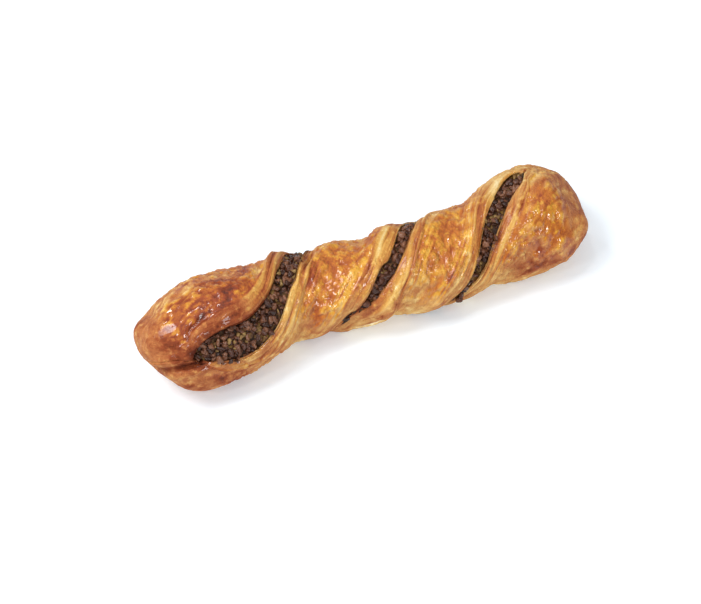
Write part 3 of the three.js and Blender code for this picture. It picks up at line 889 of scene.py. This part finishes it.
def make_chips():
    draw = np.random.default_rng(SEED)
    spots = filling_spots(draw)
    patch = noise(spots[:, 0] / 7, spots[:, 1] / 7, spots[:, 2] / 5, SEED + 22)
    lower_lip = np.array([opening(x, -1, 1) for x in spots[:, 0]]) - 0.2
    on_lip = (-spots[:, 2] > lower_lip) & (spots[:, 1] > 0)
    chance = draw.uniform(size=len(spots)) + CRUMB_PATCHES * patch
    crumb = (chance > 1 - CRUMB_SHARE) & ~on_lip
    chips, crumbs = spots[~crumb], spots[crumb]
    radii = draw.uniform(*CHIP_RADIUS, len(chips))
    radii[on_lip[~crumb]] *= SPILT_SIZE
    strays, stray_radii = stray_spots()
    make_pieces("chocolate_chips", np.concatenate([chips, strays]),
                np.concatenate([radii, stray_radii]), draw, CHIP_FACES, chocolate_material())
    make_pieces("custard_crumbs", crumbs, draw.uniform(*CRUMB_RADIUS, len(crumbs)), draw,
                CRUMB_FACES, custard_material("custard_crumbs", CUSTARD_COLOURS))


# ---- Materials ----

def new_material(name):
    material = bpy.data.materials.new(name)
    material.use_nodes = True
    nodes = material.node_tree.nodes
    return material, nodes, material.node_tree.links, nodes["Principled BSDF"]


def srgb(r, g, b):
    """A linear colour from sRGB values of 0 to 255."""
    channels = (v / 255 for v in (r, g, b))
    return tuple(v / 12.92 if v <= 0.04045 else ((v + 0.055) / 1.055) ** 2.4 for v in channels) + (1,)


def node(nodes, kind, **inputs):
    made = nodes.new(kind)
    for name, value in inputs.items():
        made.inputs[name].default_value = value
    return made


def attribute(nodes, name):
    made = nodes.new("ShaderNodeAttribute")
    made.attribute_name = name
    return made


def maths(nodes, links, operation, a, b, clamp=False):
    made = nodes.new("ShaderNodeMath")
    made.operation = operation
    made.use_clamp = clamp
    for socket, value in zip(made.inputs, (a, b)):
        if isinstance(value, (int, float)):
            socket.default_value = value
        else:
            links.new(value, socket)
    return made.outputs[0]


def ramp(nodes, links, value, stops):
    made = nodes.new("ShaderNodeValToRGB")
    elements = made.color_ramp.elements
    while len(elements) < len(stops):
        elements.new(0.5)
    for element, (position, colour) in zip(elements, stops):
        element.position = position
        element.color = colour
    links.new(value, made.inputs[0])
    return made.outputs[0]


def mixed(nodes, links, share, a, b):
    made = nodes.new("ShaderNodeMix")
    made.data_type = "RGBA"
    for name, value in (("Factor", share), ("A", a), ("B", b)):
        links.new(value, made.inputs[name])
    return made.outputs["Result"]


def object_noise(nodes, links, scale, detail=3, roughness=0.55):
    """Noise in metres of the object's own space, with scale bumps a metre."""
    made = node(nodes, "ShaderNodeTexNoise", Scale=scale, Detail=detail, Roughness=roughness)
    links.new(nodes.new("ShaderNodeTexCoord").outputs["Object"], made.inputs["Vector"])
    return made.outputs["Fac"]


def strip_noise(nodes, links, scale):
    """Noise in strip coordinates, with scale bumps a millimetre along x, p and q."""
    mapping = nodes.new("ShaderNodeMapping")
    mapping.inputs["Scale"].default_value = scale
    links.new(attribute(nodes, "strip").outputs["Vector"], mapping.inputs["Vector"])
    made = node(nodes, "ShaderNodeTexNoise", Scale=1, Detail=3, Roughness=0.55)
    links.new(mapping.outputs[0], made.inputs["Vector"])
    return made.outputs["Fac"]


def add_bump(nodes, links, shader, height, distance):
    """Fine grain on a material, at most distance metres high."""
    bump = node(nodes, "ShaderNodeBump", Strength=1, Distance=distance)
    links.new(height, bump.inputs["Height"])
    links.new(bump.outputs[0], shader.inputs["Normal"])


GLAZED_COLOURS = [
    (0.0, srgb(252, 218, 134)),
    (0.2, srgb(242, 188, 80)),
    (0.4, srgb(223, 157, 42)),
    (0.58, srgb(196, 110, 28)),
    (0.76, srgb(154, 64, 16)),
    (1.0, srgb(84, 28, 10)),
]
DRY_COLOURS = [
    (0.0, srgb(250, 230, 180)),
    (0.2, srgb(236, 195, 127)),
    (0.4, srgb(213, 157, 93)),
    (0.58, srgb(190, 120, 72)),
    (0.76, srgb(152, 77, 45)),
    (1.0, srgb(92, 38, 22)),
]


def pastry_tone(nodes, links, grain):
    """How dark it is baked, with painted shade and highlight, fine spots, lines along the layers and
    pale flecks.
    """
    fine = maths(nodes, links, "SUBTRACT", object_noise(nodes, links, 480, 5, 0.7), 0.48)
    spots = maths(nodes, links, "MULTIPLY", fine, 0.28)
    lines = maths(nodes, links, "MULTIPLY", maths(nodes, links, "SUBTRACT", grain, 0.5), 0.1)
    fleck = maths(nodes, links, "SUBTRACT", object_noise(nodes, links, 330, 2), 0.55)
    flecks = maths(nodes, links, "MULTIPLY", maths(nodes, links, "MAXIMUM", fleck, 0), -1.2)
    varied = maths(nodes, links, "ADD", maths(nodes, links, "ADD", spots, lines), flecks)
    bake_and_painted_light = attribute(nodes, "bake_and_painted_light").outputs["Fac"]
    return maths(nodes, links, "ADD", bake_and_painted_light, varied, clamp=True)


def pastry_material():
    """Baked laminated pastry: colour by how dark it is baked, with painted shade and highlight, gloss
    by how much glaze it has.
    """
    material, nodes, links, shader = new_material("baked_pastry")
    grain = strip_noise(nodes, links, (0.12, 2.2, 2.2))
    cut = attribute(nodes, "cut").outputs["Fac"]
    glaze = attribute(nodes, "glaze").outputs["Fac"]
    tone = pastry_tone(nodes, links, grain)
    dry = ramp(nodes, links, tone, DRY_COLOURS)
    glazed = ramp(nodes, links, tone, GLAZED_COLOURS)
    links.new(mixed(nodes, links, glaze, dry, glazed), shader.inputs["Base Color"])
    dull = maths(nodes, links, "SUBTRACT", 0.62, maths(nodes, links, "MULTIPLY", glaze, 0.2))
    links.new(dull, shader.inputs["Roughness"])
    links.new(maths(nodes, links, "MULTIPLY", glaze, 0.9), shader.inputs["Coat Weight"])
    shader.inputs["Specular IOR Level"].default_value = 0.06
    shader.inputs["Coat Roughness"].default_value = 0.08
    shader.inputs["Coat IOR"].default_value = 1.6
    furrows = maths(nodes, links, "MULTIPLY", grain, maths(nodes, links, "MULTIPLY", cut, 0.5))
    pores = object_noise(nodes, links, 800)
    add_bump(nodes, links, shader, maths(nodes, links, "ADD", pores, furrows), 0.0012)
    return material


def chocolate_material():
    """Chocolate chips: dark brown with a soft sheen, a little greyer on some."""
    material, nodes, links, shader = new_material("chocolate")
    grain = object_noise(nodes, links, 900, roughness=0.5)
    own = maths(nodes, links, "MULTIPLY", attribute(nodes, "tone").outputs["Fac"], 0.6)
    tone = maths(nodes, links, "ADD", own, maths(nodes, links, "MULTIPLY", grain, 0.4))
    links.new(ramp(nodes, links, tone, CHOCOLATE_COLOURS), shader.inputs["Base Color"])
    shader.inputs["Roughness"].default_value = 0.24
    shader.inputs["Specular IOR Level"].default_value = 0.42
    add_bump(nodes, links, shader, grain, 0.0006)
    return material


def custard_material(name, stops):
    """Baked custard, mottled between the colours of stops."""
    material, nodes, links, shader = new_material(name)
    blotch = object_noise(nodes, links, 260)
    links.new(ramp(nodes, links, blotch, stops), shader.inputs["Base Color"])
    shader.inputs["Roughness"].default_value = 0.5
    shader.inputs["Specular IOR Level"].default_value = 0.2
    add_bump(nodes, links, shader, object_noise(nodes, links, 700), 0.0008)
    return material


CHOCOLATE_COLOURS = [(0.2, srgb(48, 23, 13)), (0.5, srgb(82, 44, 27)), (0.8, srgb(132, 86, 60))]
CUSTARD_COLOURS = [(0.35, srgb(82, 54, 32)), (0.5, srgb(130, 98, 58)), (0.68, srgb(176, 144, 90))]
# The custard between the chips: partly its own brown, partly painted shade that darkens the gaps
# between the chips.
CORE_AND_GAP_SHADE_COLOURS = [(0.42, srgb(42, 22, 11)), (0.54, srgb(74, 48, 20)), (0.68, srgb(134, 100, 46))]


# ---- Stage ----

IMAGE_WIDTH = 701
PIXEL = 0.4548 * MM  # of the photograph, at the pastry
# Pixels from the middle of the pastry to the middle of the photograph, leftwards and down.
AIM = (11.1, 23.6)
AZIMUTH = -22.5
ELEVATION = 55
CAMERA_DISTANCE = 1.6
SENSOR_WIDTH = 36
MIDDLE = (0, 0, 0.02)  # of the pastry, that camera and lamps look towards
FLOOR_HALF = 1.5
FLOOR_DROP = 0.2 * MM
FLOOR_GLOW = 0.15  # how much the floor glows though it is no lamp: painted light that lightens the shadows on it
SKY_HORIZON = 0.22
SKY_OVERHEAD = 0.6
SKY_RIGHT = -0.1  # how the sky changes towards the right
LAMPS = [  # where they are in metres, how wide and how strong
    ((-0.68, 0.2, 1.12), 0.55, 8.5),
    ((-0.75, -0.3, 0.85), 0.1, 1.1),
    ((-0.3, -0.7, 0.9), 0.1, 0.9),
    ((0.25, -0.65, 1.0), 0.1, 0.8),
    ((0.36, -1.0, 0.62), 0.14, 1.5),
    ((0.3, -1.05, 0.32), 0.1, 0.7),
    ((-0.1, 0.15, 1.25), 0.09, 0.9),
    ((-0.4, 1.1, 0.8), 0.12, 1.5),
]


def make_camera():
    azimuth, elevation = math.radians(AZIMUTH), math.radians(ELEVATION)
    level = math.cos(elevation)
    back = Vector((math.sin(azimuth) * level, -math.cos(azimuth) * level, math.sin(elevation)))
    right = Vector((math.cos(azimuth), math.sin(azimuth), 0))
    up = back.cross(right)
    target = Vector(MIDDLE) - right * AIM[0] * PIXEL - up * AIM[1] * PIXEL
    camera = bpy.data.objects.new("camera", bpy.data.cameras.new("camera"))
    camera.location = target + back * CAMERA_DISTANCE
    camera.rotation_euler = Matrix((right, up, back)).transposed().to_euler()
    camera.data.sensor_width = SENSOR_WIDTH
    camera.data.lens = SENSOR_WIDTH * CAMERA_DISTANCE / (IMAGE_WIDTH * PIXEL)
    camera.data.clip_start = 0.01
    bpy.context.scene.collection.objects.link(camera)
    bpy.context.scene.camera = camera


def make_light(name, location, size, energy):
    light = bpy.data.lights.new(name, "AREA")
    light.size = size
    light.energy = energy
    obj = bpy.data.objects.new(name, light)
    obj.location = location
    obj.rotation_euler = (Vector(location) - Vector(MIDDLE)).to_track_quat("Z", "Y").to_euler()
    bpy.context.scene.collection.objects.link(obj)


def make_world():
    """A pale studio that is brighter overhead than at the horizon."""
    world = bpy.data.worlds.new("studio")
    world.use_nodes = True
    nodes, links = world.node_tree.nodes, world.node_tree.links
    split = nodes.new("ShaderNodeSeparateXYZ")
    links.new(nodes.new("ShaderNodeTexCoord").outputs["Generated"], split.inputs[0])
    height = maths(nodes, links, "MAXIMUM", split.outputs["Z"], 0)
    overhead = maths(nodes, links, "MULTIPLY", height, SKY_OVERHEAD)
    right = maths(nodes, links, "MULTIPLY", split.outputs["X"], SKY_RIGHT)
    strength = maths(nodes, links, "ADD", maths(nodes, links, "ADD", overhead, right), SKY_HORIZON)
    background = nodes["Background"]
    background.inputs["Color"].default_value = (0.97, 1, 1.02, 1)
    links.new(strength, background.inputs["Strength"])
    bpy.context.scene.world = world


def make_stage():
    signs = np.array([(-1, -1), (1, -1), (1, 1), (-1, 1)])
    points = np.column_stack([signs * FLOOR_HALF, np.full(4, -FLOOR_DROP)])
    floor = new_object("floor", points / MM, [np.array([[0, 1, 2, 3]])])
    material, _, _, shader = new_material("floor_paper")
    shader.inputs["Base Color"].default_value = (0.865, 0.93, 0.985, 1)
    shader.inputs["Roughness"].default_value = 0.9
    shader.inputs["Specular IOR Level"].default_value = 0.1
    # The floor glows: painted light that lightens its shadows.
    shader.inputs["Emission Color"].default_value = (0.94, 0.98, 1, 1)
    shader.inputs["Emission Strength"].default_value = FLOOR_GLOW
    floor.data.materials.append(material)
    make_world()
    for n, (location, size, energy) in enumerate(LAMPS):
        make_light(f"lamp_{n}", location, size, energy)
    bpy.context.scene.view_settings.view_transform = "Standard"


make_camera()
make_pastry()
make_custard()
make_chips()
make_stage()
